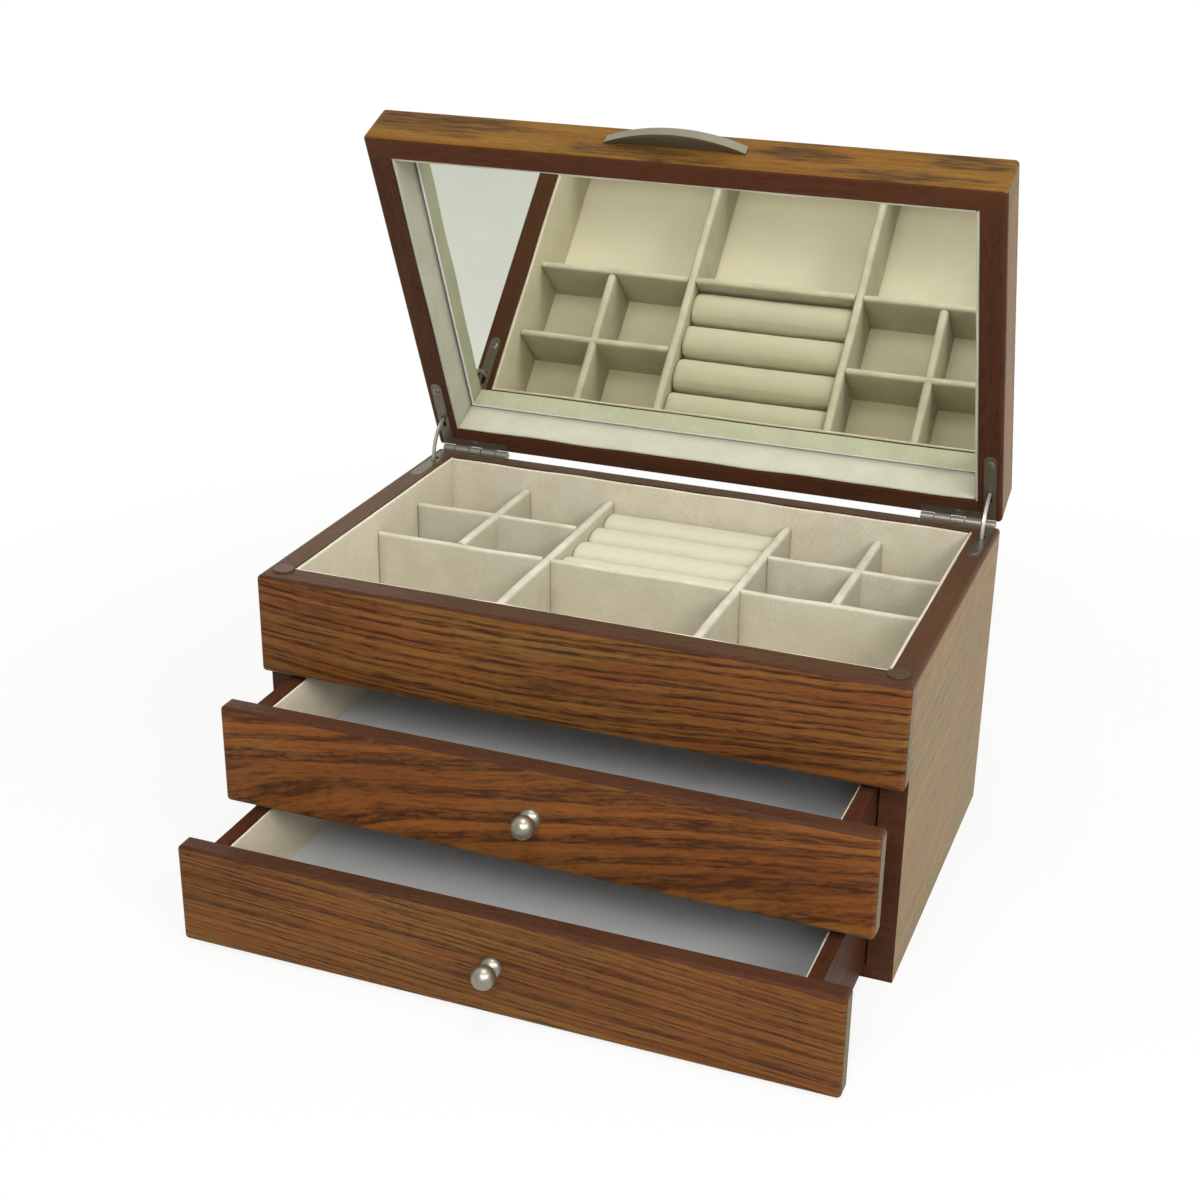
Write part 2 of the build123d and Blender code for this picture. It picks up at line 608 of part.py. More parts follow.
for tier, pull, name in ((1, upper_drawer_pull, "upper_drawer"), (0, lower_drawer_pull, "lower_drawer")):
    drawer_plane = Plane((0, -pull, tier * tier_height))
    outward = -drawer_plane.y_dir
    knob_plane = at(drawer_plane, 0, front_face, knob_level, outward)
    screw_plane = at(drawer_plane, 0, carcass_front, knob_level, outward)

    with BuildPart() as drawer_front:
        board(drawer_plane, (-half_width, half_width), (front_face, carcass_front),
              (front_gap, tier_height))
        fillet(front_edges(drawer_front, drawer_plane), edge_radius)
        board(drawer_plane, bottom_xs, (bottom_ys[0], carcass_front + overrun), bottom_levels,
              mode=Mode.SUBTRACT)
        rod(screw_plane, knob_screw_radius + screw_clearance, -overrun, front_thickness + overrun,
            mode=Mode.SUBTRACT)
        rod(screw_plane, knob_screw_head_radius + screw_clearance, -overrun,
            knob_screw_head_height + screw_clearance, mode=Mode.SUBTRACT)
    keep(drawer_front, f"{name}_front")

    for side, hand in sides:
        with BuildPart() as drawer_side:
            board(drawer_plane, (side * drawer_inside, side * drawer_outside), (carcass_front, drawer_rear),
                  (drawer_foot, drawer_rim))
            groove_xs = (side * (drawer_inside - overrun), side * (drawer_inside + drawer_groove_depth))
            board(drawer_plane, groove_xs, (carcass_front - overrun, drawer_rear + overrun), bottom_levels,
                  mode=Mode.SUBTRACT)
        keep(drawer_side, f"{name}_{hand}_side")

    with BuildPart() as drawer_back:
        board(drawer_plane, (-drawer_inside, drawer_inside), (drawer_inner_rear, drawer_rear),
              (drawer_floor_level, drawer_rim))
    keep(drawer_back, f"{name}_back")

    with BuildPart() as drawer_bottom:
        board(drawer_plane, bottom_xs, bottom_ys, bottom_levels)
    keep(drawer_bottom, f"{name}_bottom")

    with BuildPart() as drawer_lining:
        board(drawer_plane, (-drawer_inside, drawer_inside), (carcass_front, drawer_inner_rear),
              (drawer_floor_level, drawer_card_level))
        wall_levels = (drawer_card_level + card_gap, drawer_lining_top)
        for ys in ((carcass_front, drawer_lining_front), (drawer_lining_rear, drawer_inner_rear)):
            board(drawer_plane, (-drawer_inside, drawer_inside), ys, wall_levels)
        for side, hand in sides:
            board(drawer_plane, (side * drawer_lining_side, side * drawer_inside),
                  (drawer_lining_front + card_gap, drawer_lining_rear - card_gap), wall_levels)
    keep(drawer_lining, f"{name}_lining")

    # Knob turned in one piece: a domed base, a short neck and a ball
    turning_plane = Plane(knob_plane.origin, x_dir=outward, z_dir=drawer_plane.x_dir)
    with BuildPart() as knob:
        with BuildSketch(turning_plane):
            with BuildLine():
                Line((0, 0), (0, knob_base_radius))
                EllipticalCenterArc((0, 0), knob_base_height, knob_base_radius, start_angle=0, arc_size=90)
                Line((knob_base_height, 0), (0, 0))
            make_face()
            with Locations((knob_ball_reach / 2, knob_neck_radius / 2)):
                Rectangle(knob_ball_reach, knob_neck_radius)
            with BuildLine():
                ThreePointArc((knob_ball_reach - knob_ball_radius, 0), (knob_ball_reach, knob_ball_radius),
                              (knob_ball_reach + knob_ball_radius, 0))
                Line((knob_ball_reach + knob_ball_radius, 0), (knob_ball_reach - knob_ball_radius, 0))
            make_face()
        revolve(axis=Axis(knob_plane.origin, outward))
        rod(knob_plane, knob_screw_radius + screw_clearance, -overrun, knob_screw_grip + screw_clearance,
            mode=Mode.SUBTRACT)
    keep(knob, f"{name}_knob")

    with BuildPart() as knob_screw:
        rod(screw_plane, knob_screw_head_radius, 0, knob_screw_head_height)
        rod(screw_plane, knob_screw_radius, 0, front_thickness + knob_screw_grip)
    keep(knob_screw, f"{name}_knob_screw")
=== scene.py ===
import json
import math

import bmesh
import bpy
import numpy as np
from mathutils import Euler, Matrix, Vector


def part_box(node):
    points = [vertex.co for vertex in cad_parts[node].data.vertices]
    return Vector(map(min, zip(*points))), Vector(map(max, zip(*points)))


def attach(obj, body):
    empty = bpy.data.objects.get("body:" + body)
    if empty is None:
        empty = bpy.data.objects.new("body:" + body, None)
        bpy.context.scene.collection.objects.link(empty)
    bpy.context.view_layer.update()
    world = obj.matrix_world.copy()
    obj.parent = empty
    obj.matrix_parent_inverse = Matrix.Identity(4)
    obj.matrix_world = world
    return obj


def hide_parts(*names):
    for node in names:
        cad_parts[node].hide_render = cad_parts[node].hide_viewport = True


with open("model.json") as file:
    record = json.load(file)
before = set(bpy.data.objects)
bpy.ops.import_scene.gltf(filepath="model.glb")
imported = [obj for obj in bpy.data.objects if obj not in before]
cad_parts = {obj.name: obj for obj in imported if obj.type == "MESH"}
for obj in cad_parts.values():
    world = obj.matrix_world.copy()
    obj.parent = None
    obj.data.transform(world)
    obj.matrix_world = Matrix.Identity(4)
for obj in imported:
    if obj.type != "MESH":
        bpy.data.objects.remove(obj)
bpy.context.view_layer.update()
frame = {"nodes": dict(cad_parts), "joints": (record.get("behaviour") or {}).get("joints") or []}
nodes = frame["nodes"]
scene = bpy.context.scene

# The lid stands open in the frame, so its boards are turned back about the hinge pin
lidHinge = next(joint for joint in frame["joints"] if joint["name"] == "lid_hinge")
openAngle = math.radians(-lidHinge["range_deg"][0])
pinPlace = Vector(lidHinge["pos_m"])
openTurn = Matrix.Rotation(-openAngle, 3, "X")
print("frame: lid open", round(math.degrees(openAngle), 1), "degrees,", len(nodes), "pieces")


def tint(code):
    # hex colour as written for a screen, turned to linear light by the sRGB curve
    parts = np.array([int(code[i:i + 2], 16) for i in (1, 3, 5)]) / 255
    linear = np.where(parts <= 0.04045, parts / 12.92, ((parts + 0.055) / 1.055) ** 2.4)
    return (*linear.tolist(), 1.0)


def feed(tree, sockets, feeds):
    for socket, value in feeds.items():
        if isinstance(value, bpy.types.NodeSocket):
            tree.links.new(value, sockets[socket])
        else:
            sockets[socket].default_value = value


def addNode(tree, kind, feeds=None, **settings):
    made = tree.nodes.new("ShaderNode" + kind)
    for label, value in settings.items():
        setattr(made, label, value)
    feed(tree, made.inputs, feeds or {})
    return made


def work(tree, operation, first, second=0.0):
    return addNode(tree, "Math", {0: first, 1: second}, operation=operation).outputs[0]


def vectorWork(tree, operation, first, second=(0, 0, 0)):
    made = addNode(tree, "VectorMath", {0: first, 1: second}, operation=operation)
    return made.outputs["Value" if operation in ("LENGTH", "DOT_PRODUCT") else "Vector"]


def mixTint(tree, share, under, over):
    return addNode(tree, "Mix", {0: share, 6: under, 7: over}, data_type="RGBA").outputs[2]


def mixValue(tree, share, under, over):
    return addNode(tree, "Mix", {0: share, 2: under, 3: over}, data_type="FLOAT").outputs[0]


def spread(tree, value, low, high, fromLow=0.0, toHigh=1.0):
    # smooth step: fromLow below low, toHigh above high
    feeds = {"Value": value, "From Min": low, "From Max": high, "To Min": fromLow, "To Max": toHigh}
    return addNode(tree, "MapRange", feeds, interpolation_type="SMOOTHSTEP").outputs[0]


def stretched(tree, vector, perMetre, detail=2.0, rough=0.5):
    # noise from 0 to 1, with its own count of cells per metre along each axis
    scaled = vectorWork(tree, "MULTIPLY", vector, perMetre)
    feeds = {"Vector": scaled, "Scale": 1.0, "Detail": detail, "Roughness": rough}
    return addNode(tree, "TexNoise", feeds).outputs["Fac"]


def centred(tree, vector, *cells):
    # the same noise, above and below 0
    return work(tree, "SUBTRACT", stretched(tree, vector, *cells), 0.5)


def newGroup(name, inputs, outputs):
    # a group that takes a place and some values, and puts out values
    tree = bpy.data.node_groups.new(name, "ShaderNodeTree")
    tree.interface.new_socket("Vector", in_out="INPUT", socket_type="NodeSocketVector")
    for label in inputs:
        tree.interface.new_socket(label, in_out="INPUT", socket_type="NodeSocketFloat")
    for label in outputs:
        tree.interface.new_socket(label, in_out="OUTPUT", socket_type="NodeSocketFloat")
    entry = tree.nodes.new("NodeGroupInput").outputs
    leave = tree.nodes.new("NodeGroupOutput").inputs
    return tree, entry, leave


def useGroup(tree, group, feeds):
    made = tree.nodes.new("ShaderNodeGroup")
    made.node_tree = group
    feed(tree, made.inputs, feeds)
    return made.outputs


def newMaterial(name):
    material = bpy.data.materials.new(name)
    material.use_nodes = True
    tree = material.node_tree
    return material, tree, tree.nodes["Principled BSDF"]


def objectPlace(tree):
    return addNode(tree, "TexCoord").outputs["Object"]


def facing(tree, direction):
    # cosine of the angle between the surface's normal and a direction
    return vectorWork(tree, "DOT_PRODUCT", addNode(tree, "TexCoord").outputs["Normal"], direction)


def dress(material, *names):
    for name in names:
        slots = nodes[name].data.materials
        slots.clear()
        slots.append(material)


# Timber figure. u runs along the grain, v across it. The rings lie at the height
# v - (tilt u + bow u squared + twist u cubed), or on long ellipses where taper isn't 0, as
# sqrt(height squared + (taper u) squared). Open pores fill with stain in dashes that crowd at
# the start of each ring, so a ring shows as a dark streak with a ragged edge.
timberCells = {     # cells per metre along, across and into the board, then the noise's detail and roughness
    "wander": ((5.0, 26.0, 26.0),),
    "ripple": ((45.0, 130.0, 130.0),),
    "cloud": ((14.0, 60.0, 60.0),),
    "dash": ((36.0, 900.0, 300.0), 3.0, 0.6),
    "hair": ((60.0, 800.0, 400.0), 2.0, 0.6),
    "pore": ((170.0, 1000.0, 700.0), 2.0, 0.55),
    "tone": ((9.0, 40.0, 40.0), 3.0),
    "silk": ((20.0, 800.0, 300.0), 3.0, 0.6),
    "patch": ((7.0, 55.0, 55.0), 3.0),
    "fibre": ((60.0, 2000.0, 800.0), 2.0),
}
timberMarks = {     # how each noise becomes a mark: its low and high, then the mark's own low and high
    "unevenRate": 0.4, "uneven": 2.0, "dash": 1.1, "ink": (0.04, 0.54), "hair": (0.38, 0.62, 0.4, 1.0),
    "pore": (0.5, 0.66), "poreHeld": 0.5, "tone": (0.33, 0.67, 0.0, 0.35), "silk": (0.32, 0.68, 0.0, 0.35),
    "yearRate": 0.7, "year": (0.35, 0.65, 0.0, 0.3), "patch": (0.44, 0.7),
}
ringRamp = ((0.0, 0.05), (0.1, 1.0), (0.3, 0.75), (0.62, 0.0), (1.0, 0.05))     # place in the ring, darkness
plainFigure = {
    "spacing": 0.004, "tilt": 0.0, "bow": 0.0, "twist": 0.0, "taper": 0.0, "wander": 0.006, "ripple": 0.0012,
    "follow": 0.7, "coarse": 1.0, "band": 0.55, "cloud": 0.5, "cover": 0.0,
}


def ringTone(tree, count):
    # how dark a ring is, by the place within it
    ramp = addNode(tree, "ValToRGB", {0: work(tree, "FRACT", count)})
    stops = ramp.color_ramp.elements
    stops[0].position, stops[1].position = ringRamp[0][0], ringRamp[-1][0]
    for position, level in ringRamp[1:-1]:
        stops.new(position)
    for stop, (position, level) in zip(stops, ringRamp):
        stop.color = (level, level, level, 1)
    return ramp.outputs[0]


def ringDrift(tree, count, rate):
    # slow noise along the count of rings
    feeds = {"W": work(tree, "MULTIPLY", count, rate), "Scale": 1.0, "Detail": 1.0}
    return addNode(tree, "TexNoise", feeds, noise_dimensions="1D").outputs["Fac"]


def timberFigure(cells, marks):
    tree, entry, leave = newGroup("timberFigure", plainFigure, ["Ink", "Pores", "Tone", "Patch", "Fibre"])
    place = entry["Vector"]
    along, across, depth = addNode(tree, "SeparateXYZ", {0: place}).outputs

    def add(first, second):
        return work(tree, "ADD", first, second)

    def times(first, second):
        return work(tree, "MULTIPLY", first, second)

    def bent(name):
        return times(centred(tree, place, *cells[name]), entry[name])

    slope = add(entry["tilt"], times(along, add(entry["bow"], times(along, entry["twist"]))))
    height = work(tree, "SUBTRACT", across, times(along, slope))
    height = add(height, add(bent("wander"), bent("ripple")))
    reach = times(along, entry["taper"])
    radius = work(tree, "SQRT", add(times(height, height), times(reach, reach)))
    count = work(tree, "DIVIDE", radius, entry["spacing"])
    count = add(count, times(ringDrift(tree, count, marks["unevenRate"]), marks["uneven"]))

    # the dashes lie between the board's own line and the line of the rings
    rise = times(work(tree, "SUBTRACT", radius, across), entry["follow"])
    level = work(tree, "DIVIDE", add(across, rise), entry["coarse"])
    dashPlace = addNode(tree, "CombineXYZ", {0: along, 1: level, 2: depth}).outputs[0]

    def mark(name, where):
        return spread(tree, stretched(tree, where, *cells[name]), *marks[name])

    dash = times(centred(tree, dashPlace, *cells["dash"]), marks["dash"])
    score = add(times(ringTone(tree, count), entry["band"]), dash)
    score = add(add(score, bent("cloud")), entry["cover"])
    ink = spread(tree, score, *marks["ink"])
    poreHeld = add(times(ink, 1 - marks["poreHeld"]), marks["poreHeld"])    # fewer between the streaks
    years = spread(tree, ringDrift(tree, count, marks["yearRate"]), *marks["year"])
    tree.links.new(times(ink, mark("hair", dashPlace)), leave["Ink"])
    tree.links.new(times(mark("pore", dashPlace), poreHeld), leave["Pores"])
    tree.links.new(add(add(mark("tone", place), mark("silk", dashPlace)), years), leave["Tone"])
    tree.links.new(mark("patch", place), leave["Patch"])
    tree.links.new(stretched(tree, dashPlace, *cells["fibre"]), leave["Fibre"])
    return tree


timber = timberFigure(timberCells, timberMarks)

oakStain = {
    "pale": tint("#815126"), "olive": tint("#7b5b2b"), "mid": tint("#653818"), "dark": tint("#3a2114"),
    "pore": tint("#2c190f"), "inkDepth": 0.95, "poreDepth": 0.5, "rough": (0.36, 0.48), "bump": 0.25,
    "ior": 1.2, "sheen": 0.35, "sheenRough": 0.35, "sheenTint": tint("#d2cb8c"),
}
mahoganyStain = {
    "pale": tint("#512f1e"), "olive": tint("#4e3120"), "mid": tint("#442518"), "dark": tint("#321a11"),
    "pore": tint("#26130c"), "inkDepth": 0.35, "poreDepth": 0.4, "rough": (0.36, 0.48), "bump": 0.12,
    "ior": 1.1,
}
goldenStain = dict(
    oakStain, pale=tint("#875b22"), olive=tint("#7c6029"), mid=tint("#6c461b"), dark=tint("#3c2a1a"),
    inkDepth=0.9, poreDepth=0.4, ior=1.14)
redOakStain = dict(oakStain, pale=tint("#875025"), olive=tint("#7e5628"), mid=tint("#6a3c1b"), inkDepth=0.86)
paleOakStain = dict(
    oakStain, pale=tint("#7c4f25"), olive=tint("#77572a"), mid=tint("#613719"), dark=tint("#3a2217"),
    inkDepth=0.9)
lidSideStain = dict(oakStain, sheen=0.18)

# Ovals of ink and painted shadow: soft, with a ragged outline, each its centre along and across, half length,
# half height
ovalEdge = {"cells": ((40.0, 260.0, 70.0), 3.0), "ragged": 1.1, "soft": (1.3, 0.3)}


def inkedAndShaded(tree, place, figure):
    # the board's cover with its ovals of ink and painted shadow added
    ragged = work(tree, "MULTIPLY", centred(tree, place, *ovalEdge["cells"]), ovalEdge["ragged"])
    deepest = 0.0
    for along, across, halfLength, halfHeight in figure["inkAndShadowOvals"]:
        heart = (figure["heart"][0] + along, figure["heart"][1] + across, 0)
        away = vectorWork(tree, "SUBTRACT", place, heart)
        away = vectorWork(tree, "MULTIPLY", away, (1 / halfLength, 1 / halfHeight, 0))
        reach = work(tree, "ADD", vectorWork(tree, "LENGTH", away), ragged)
        deepest = work(tree, "MAXIMUM", deepest, spread(tree, reach, *ovalEdge["soft"]))
    return work(tree, "ADD", work(tree, "MULTIPLY", deepest, figure["inkAndShadowDepth"]), figure["cover"])


def stainTint(tree, place, figure, stain):
    # stain over the figure: pale, olive and mid by the board's tone, then the inked rings, then pores
    feeds = {label: figure[label] for label in plainFigure}
    if "inkAndShadowOvals" in figure:
        feeds["cover"] = inkedAndShaded(tree, place, figure)
    grain = useGroup(tree, timber, dict(feeds, Vector=place))
    colour = mixTint(tree, grain["Patch"], stain["pale"], stain["olive"])
    colour = mixTint(tree, grain["Tone"], colour, stain["mid"])
    colour = mixTint(tree, work(tree, "MULTIPLY", grain["Ink"], stain["inkDepth"]), colour, stain["dark"])
    colour = mixTint(tree, work(tree, "MULTIPLY", grain["Pores"], stain["poreDepth"]), colour, stain["pore"])
    return colour, grain


# Boards: where the veneer gives way to the edge, and how deep pores and fibres lie in the lacquer
boardFinish = {"border": (0.88, 0.95), "endShare": 0.55, "poreDrop": -0.8, "fibreRise": 0.5, "depth": 0.0003,
               "fibreSpan": (0.3, 0.7)}
edgeFigure = dict(plainFigure, spacing=0.006, wander=0.004)


def woodFinish(name, figure, stain, edgeStain=None, face=None, run=None):
    # a board: veneer on the side that faces along face and most of the way round its ends, which face
    # along run, and edgeStain on its other rounded edges and sides
    material, tree, shader = newMaterial(name)
    feeds = {"Vector": objectPlace(tree), "Location": figure["origin"], "Rotation": figure["turn"]}
    place = addNode(tree, "Mapping", feeds, vector_type="TEXTURE").outputs[0]
    colour, grain = stainTint(tree, place, figure, stain)
    if face is not None:
        edgeColour = stainTint(tree, place, {**figure, **edgeFigure}, edgeStain)[0]
        ends = work(tree, "MULTIPLY", work(tree, "ABSOLUTE", facing(tree, run)), boardFinish["endShare"])
        border = figure.get("border", boardFinish["border"])
        veneer = spread(tree, work(tree, "ADD", facing(tree, face), ends), *border)
        colour = mixTint(tree, veneer, edgeColour, colour)
    height = work(tree, "ADD", work(tree, "MULTIPLY", grain["Pores"], boardFinish["poreDrop"]),
                  work(tree, "MULTIPLY", grain["Fibre"], boardFinish["fibreRise"]))
    feeds = {"Height": height, "Strength": stain["bump"], "Distance": boardFinish["depth"]}
    bump = addNode(tree, "Bump", feeds)
    rough = spread(tree, grain["Fibre"], *boardFinish["fibreSpan"], *stain["rough"])
    feed(tree, shader.inputs, {"Base Color": colour, "Roughness": rough, "Normal": bump.outputs[0],
                               "IOR": stain["ior"]})
    if "sheen" in stain:      # lacquer that pales where it is seen from a low angle
        feed(tree, shader.inputs, {"Sheen Weight": stain["sheen"], "Sheen Roughness": stain["sheenRough"],
                                   "Sheen Tint": stain["sheenTint"]})
    return material


# Which way each board lies: columns of the turn are along the grain, across it and out of the board
frontTurn = Euler((math.pi / 2, 0, 0))
flatTurn = Euler((0, 0, 0))
sideTurn = Euler((math.pi / 2, 0, math.pi / 2))


def opened(turn):
    return (openTurn @ turn.to_matrix()).to_euler()


def middle(name):
    low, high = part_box(name)
    return (low + high) / 2


leftFace, rightFace = (-1, 0, 0), (1, 0, 0)
frontFace, backFace = (0, -1, 0), (0, 1, 0)
lidFrontFace = tuple(openTurn @ Vector(frontFace))
lidBackFace = tuple(openTurn @ Vector(backFace))
lidTopFace = tuple(openTurn @ Vector((0, 0, 1)))
lidUnderFace = tuple(openTurn @ Vector((0, 0, -1)))
widthRun, depthRun = rightFace, backFace

trayFrontFigure = dict(
    plainFigure, origin=middle("tray_front_panel") + Vector((0, 0, -0.2)), turn=frontTurn,
    spacing=0.0043, tilt=0.04, bow=0.315, twist=-0.97, wander=0.009, ripple=0.0018,
    follow=0.9, band=0.6, cloud=0.6, cover=0.09)
upperFrontFigure = dict(
    plainFigure, origin=middle("upper_drawer_front") + Vector((0.4, 0, -0.05)), turn=frontTurn,
    spacing=0.0072, taper=0.152, wander=0.014, ripple=0.0022,
    follow=0.97, coarse=0.95, band=0.64, cloud=0.75, cover=0.15)
lowerFrontFigure = dict(
    plainFigure, origin=middle("lower_drawer_front") + Vector((0, 0, -0.2)), turn=frontTurn,
    spacing=0.0031, tilt=-0.06, bow=-0.05, wander=0.008, ripple=0.0012,
    follow=0.9, coarse=0.9, band=0.46, cloud=0.6, cover=0.04)
lidFrontFigure = dict(
    plainFigure, origin=middle("lid_front_rail") + openTurn @ Vector((-0.03, 0, -0.2)),
    turn=opened(frontTurn), spacing=0.008, wander=0.012, ripple=0.002, band=0.18, cloud=0.6,
    border=(0.62, 0.72), heart=(0.03, 0.2), inkAndShadowDepth=0.58,
    # the third oval, long and thin across the middle, is the handle's painted shadow; the others are ink
    inkAndShadowOvals=[(-0.14, 0.004, 0.014, 0.009), (-0.109, 0.0045, 0.036, 0.012), (-0.0075, -0.0075, 0.036, 0.006),
             (-0.017, -0.004, 0.008, 0.005), (0.06, 0.002, 0.021, 0.0085), (0.11, -0.008, 0.04, 0.004),
             (0.132, 0.006, 0.022, 0.006)])
lidTopFigure = dict(
    plainFigure, origin=middle("lid_top_panel") + openTurn @ Vector((0.2, 0.0, 0)), turn=opened(flatTurn),
    spacing=0.0052, taper=0.2, wander=0.03, ripple=0.002, band=0.4, cloud=0.65)
quietFigure = dict(plainFigure, spacing=0.0042, band=0.45, cloud=0.6)      # sides and backs
sideFigure = dict(quietFigure, origin=Vector((0, 0.12, -0.06)), turn=sideTurn, taper=0.2, wander=0.02)
backFigure = dict(quietFigure, origin=Vector((-0.12, 0, -0.04)), turn=frontTurn, taper=0.2, wander=0.025)
lidSideFigure = dict(
    quietFigure, origin=pinPlace + openTurn @ Vector((0, 0.05, -0.08)), turn=opened(sideTurn),
    taper=0.15, wander=0.01)
lidBackFigure = dict(
    quietFigure, origin=pinPlace + openTurn @ Vector((0, 0, -0.1)), turn=opened(frontTurn),
    taper=0.15, wander=0.012)

veneered = [
    ("trayFrontOak", trayFrontFigure, oakStain, frontFace, widthRun, "tray_front_panel"),
    ("upperFrontOak", upperFrontFigure, redOakStain, frontFace, widthRun, "upper_drawer_front"),
    ("lowerFrontOak", lowerFrontFigure, paleOakStain, frontFace, widthRun, "lower_drawer_front"),
    ("lidFrontOak", lidFrontFigure, goldenStain, lidFrontFace, widthRun, "lid_front_rail"),
    ("lidTopOak", lidTopFigure, goldenStain, lidTopFace, widthRun, "lid_top_panel"),
    ("leftSideOak", sideFigure, oakStain, leftFace, depthRun, "left_side"),
    ("rightSideOak", sideFigure, oakStain, rightFace, depthRun, "right_side"),
    ("backOak", backFigure, oakStain, backFace, widthRun, "back_panel"),
    ("lidLeftOak", lidSideFigure, lidSideStain, leftFace, lidBackFace, "lid_left_rail"),
    ("lidRightOak", lidSideFigure, lidSideStain, rightFace, lidBackFace, "lid_right_rail"),
    ("lidBackOak", lidBackFigure, oakStain, lidBackFace, widthRun, "lid_back_rail"),
]
for name, figure, stain, face, run, board in veneered:
    dress(woodFinish(name, figure, stain, mahoganyStain, face, run), board)

mahoganyFigure = dict(plainFigure, origin=Vector((0, 0, -0.3)), turn=frontTurn, spacing=0.006, wander=0.008)
mahoganyDepthFigure = dict(mahoganyFigure, turn=sideTurn)
mahoganyFlatFigure = dict(mahoganyFigure, origin=Vector((0, -0.4, 0)), turn=flatTurn)
plainBoards = [
    ("mahoganyAcross", mahoganyFigure, ["upper_drawer_back", "lower_drawer_back"]),
    ("mahoganyDepth", mahoganyDepthFigure,
     ["upper_drawer_left_side", "upper_drawer_right_side",
      "lower_drawer_left_side", "lower_drawer_right_side"]),
    ("mahoganyFlat", mahoganyFlatFigure,
     ["bottom_panel", "drawer_shelf", "tray_floor", "upper_drawer_bottom", "lower_drawer_bottom"]),
]
for name, figure, boards in plainBoards:
    dress(woodFinish(name, figure, mahoganyStain), *boards)
print("wood: veneer and stain on", len(veneered) + len(plainBoards), "board groups")

# Velveteen: a fine nap in short fibres over a soft mottle, and a thread's worth of height
napMarks = {"mottle": ((70.0, 70.0, 70.0), 3.0, 0.6), "mottleSpan": (0.3, 0.7),
            "fibre": ((1500.0, 1500.0, 900.0), 2.0, 0.7)}


def napFigure(marks):
    tree, entry, leave = newGroup("nap", [], ["Mottle", "Fibre"])
    mottle = stretched(tree, entry["Vector"], *marks["mottle"])
    tree.links.new(spread(tree, mottle, *marks["mottleSpan"]), leave["Mottle"])
    tree.links.new(stretched(tree, entry["Vector"], *marks["fibre"]), leave["Fibre"])
    return tree


nap = napFigure(napMarks)


def velveteenFinish(name, cloth):
    # painted light: faces that point up take the paler top colour, a painted highlight on tops and top edges
    material, tree, shader = newMaterial(name)
    fibres = useGroup(tree, nap, {"Vector": objectPlace(tree)})
    colour = mixTint(tree, fibres["Mottle"], cloth["pale"], cloth["deep"])
    fleck = work(tree, "MULTIPLY", spread(tree, fibres["Fibre"], *cloth["fleckSpan"]), cloth["fleck"])
    colour = mixTint(tree, fleck, colour, cloth["thread"])
    top = spread(tree, facing(tree, cloth["up"]), *cloth["paintedTopSpan"])
    colour = mixTint(tree, top, colour, mixTint(tree, fibres["Mottle"], cloth["paintedTopLight"], cloth["pale"]))
    feeds = {"Height": fibres["Fibre"], "Strength": cloth["bump"], "Distance": cloth["depth"]}
    bump = addNode(tree, "Bump", feeds)
    feed(tree, shader.inputs, {
        "Base Color": colour, "Roughness": cloth["rough"], "Normal": bump.outputs[0],
        "Specular IOR Level": cloth["specular"], "Sheen Weight": cloth["sheen"],
        "Sheen Roughness": cloth["sheenRough"], "Sheen Tint": cloth["pale"]})
    return material


plainCloth = {"up": (0, 0, 1), "fleck": 0.4, "fleckSpan": (0.42, 0.7), "paintedTopSpan": (0.3, 0.9), "bump": 0.35,
              "depth": 0.0004, "rough": 0.92, "specular": 0.2, "sheen": 0.1, "sheenRough": 0.5}
lidNap = {"up": lidUnderFace, "sheen": 0.0}


def dyed(pale, deep, thread, paintedTopLight, **changes):
    shades = {"pale": tint(pale), "deep": tint(deep), "thread": tint(thread), "paintedTopLight": tint(paintedTopLight)}
    return {**plainCloth, **shades, **changes}


# One cream velveteen in copies set lighter, darker or greyer for the light each piece gets: painted light and
# shade
cloths = {
    "lining": dyed("#c9c2ae", "#c2baa4", "#a79e87", "#d9cfc2"),
    "floor": dyed("#e2d9c6", "#dad1bd", "#bfb49d", "#dfd7c3"),
    "lid": dyed("#bcbba9", "#b5b3a1", "#9c9a89", "#c5c0b0", **lidNap),
    "lidLeftShade": dyed("#a4a393", "#9e9c8c", "#878676", "#aca799", **lidNap),      # painted shade: the lid's cloth, darker on the left board
    "drawerWall": dyed("#d7cdb5", "#cec3a9", "#b4a990", "#e4dac7"),
    # painted shade: the drawer floors take a greyer copy of the cream cloth, for the shade they lie in
    "drawerFloorShade": dyed("#c3c4c4", "#bbbdbf", "#a1a3a6", "#c5c6c5"),
    "divider": dyed("#b9b4a0", "#b1ab97", "#97907b", "#cac5b2"),
    "roll": dyed("#c1bca7", "#bbb69e", "#a7a086", "#c2bda9", fleck=0.25),
}
velveteen = {name: velveteenFinish(name + "Velveteen", cloth) for name, cloth in cloths.items()}
print("cloth:", len(velveteen), "shades of velveteen")


# How sharp an edge stays sharp, in degrees
sharpAngles = {"cloth": 50, "roll": 180, "glass": 2}


